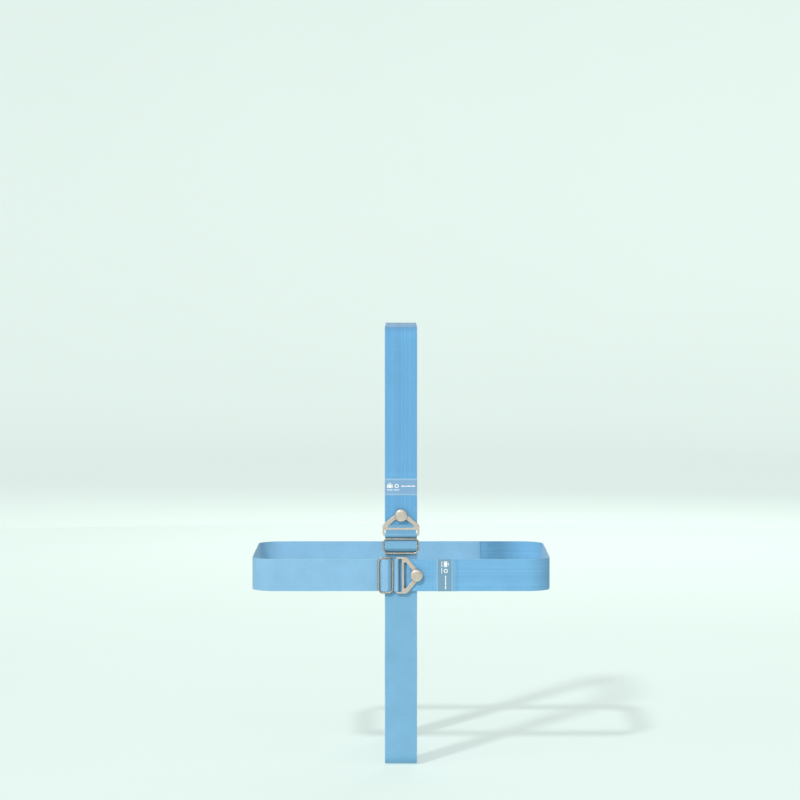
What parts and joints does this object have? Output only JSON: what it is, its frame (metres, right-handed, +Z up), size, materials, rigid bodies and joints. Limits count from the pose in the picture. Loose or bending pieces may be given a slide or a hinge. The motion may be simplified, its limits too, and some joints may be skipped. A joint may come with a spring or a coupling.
{
  "type": "luggage strap",
  "caption": "Crossed luggage straps of flat webbing round a suitcase, each with an elastic end, a woven label, a swivel button, a hook clip and a wire slider.",
  "frame": {"origin": "middle of the suitcase's underside, on the inner face of the vertical strap's bottom run", "axes": "+Z up the suitcase, -Y towards its front, where both buckles are, +X to the viewer's right"},
  "size_m": [0.4638, 0.2976, 0.6808],
  "materials": {
    "elastic": "light blue ribbed elastic webbing",
    "twill": "light blue fine twill webbing",
    "label": "light blue woven label with a plain printed pattern",
    "thread": "light blue sewing thread",
    "nickel": "warm nickel plate"
  },
  "bodies": {
    "root": {"vertical_elastic_webbing": "elastic", "vertical_clip_loop_webbing": "twill", "vertical_return_webbing": "twill", "vertical_running_webbing": "twill", "vertical_front_webbing": "twill", "vertical_twill_webbing": "twill", "vertical_lap_stitching": "thread", "horizontal_elastic_webbing": "elastic", "horizontal_clip_loop_webbing": "twill", "horizontal_return_webbing": "twill", "horizontal_running_webbing": "twill", "horizontal_front_webbing": "twill", "horizontal_twill_webbing": "twill", "horizontal_lap_stitching": "thread"},
    "vertical_button_end": {"vertical_button_end_webbing": "elastic", "vertical_label": "label", "vertical_label_stitching": "thread", "vertical_hem_stitching": "thread", "vertical_button_tack": "nickel", "vertical_button_post": "nickel"},
    "vertical_button_cap": {"vertical_button_cap": "nickel"},
    "vertical_clip": {"vertical_clip": "nickel"},
    "vertical_slider": {"vertical_slider_ring": "nickel", "vertical_slider_bar": "nickel", "vertical_slider_webbing": "twill", "vertical_sewn_end": "twill", "vertical_sewn_end_stitching": "thread"},
    "horizontal_button_end": {"horizontal_button_end_webbing": "elastic", "horizontal_label": "label", "horizontal_label_stitching": "thread", "horizontal_hem_stitching": "thread", "horizontal_button_tack": "nickel", "horizontal_button_post": "nickel"},
    "horizontal_button_cap": {"horizontal_button_cap": "nickel"},
    "horizontal_clip": {"horizontal_clip": "nickel"},
    "horizontal_slider": {"horizontal_slider_ring": "nickel", "horizontal_slider_bar": "nickel", "horizontal_slider_webbing": "twill", "horizontal_sewn_end": "twill", "horizontal_sewn_end_stitching": "thread"}
  },
  "joints": [
    {"name": "vertical_slider_slide", "type": "slide", "parent": "root", "child": "vertical_slider", "axis": [0, 0, -1], "range_m": [0, 0.0035], "deforming": ["vertical_return_webbing", "vertical_running_webbing", "vertical_front_webbing"]},
    {"name": "vertical_button_stretch", "type": "slide", "parent": "root", "child": "vertical_button_end", "axis": [0, 0, -1], "range_m": [0, 0.012], "stiffness_N_per_m": 1500},
    {"name": "vertical_button_swivel", "type": "hinge", "parent": "vertical_button_end", "child": "vertical_button_cap", "pos_m": [0, -0.149, 0.388], "axis": [0, -1, 0], "continuous": true},
    {"name": "vertical_clip_tilt", "type": "hinge", "parent": "root", "child": "vertical_clip", "pos_m": [0, -0.14475, 0.3575], "axis": [1, 0, 0], "range_deg": [0, 1.8]},
    {"name": "horizontal_slider_slide", "type": "slide", "parent": "root", "child": "horizontal_slider", "axis": [-1, 0, 0], "range_m": [0, 0.06], "deforming": ["horizontal_return_webbing", "horizontal_running_webbing", "horizontal_front_webbing"]},
    {"name": "horizontal_button_stretch", "type": "slide", "parent": "root", "child": "horizontal_button_end", "axis": [-1, 0, 0], "range_m": [0, 0.012], "stiffness_N_per_m": 1500},
    {"name": "horizontal_button_swivel", "type": "hinge", "parent": "horizontal_button_end", "child": "horizontal_button_cap", "pos_m": [0.024, -0.1506, 0.295], "axis": [0, -1, 0], "continuous": true},
    {"name": "horizontal_clip_tilt", "type": "hinge", "parent": "root", "child": "horizontal_clip", "pos_m": [-0.0065, -0.14635, 0.295], "axis": [0, 0, -1], "range_deg": [0, 1.8]}
  ]
}
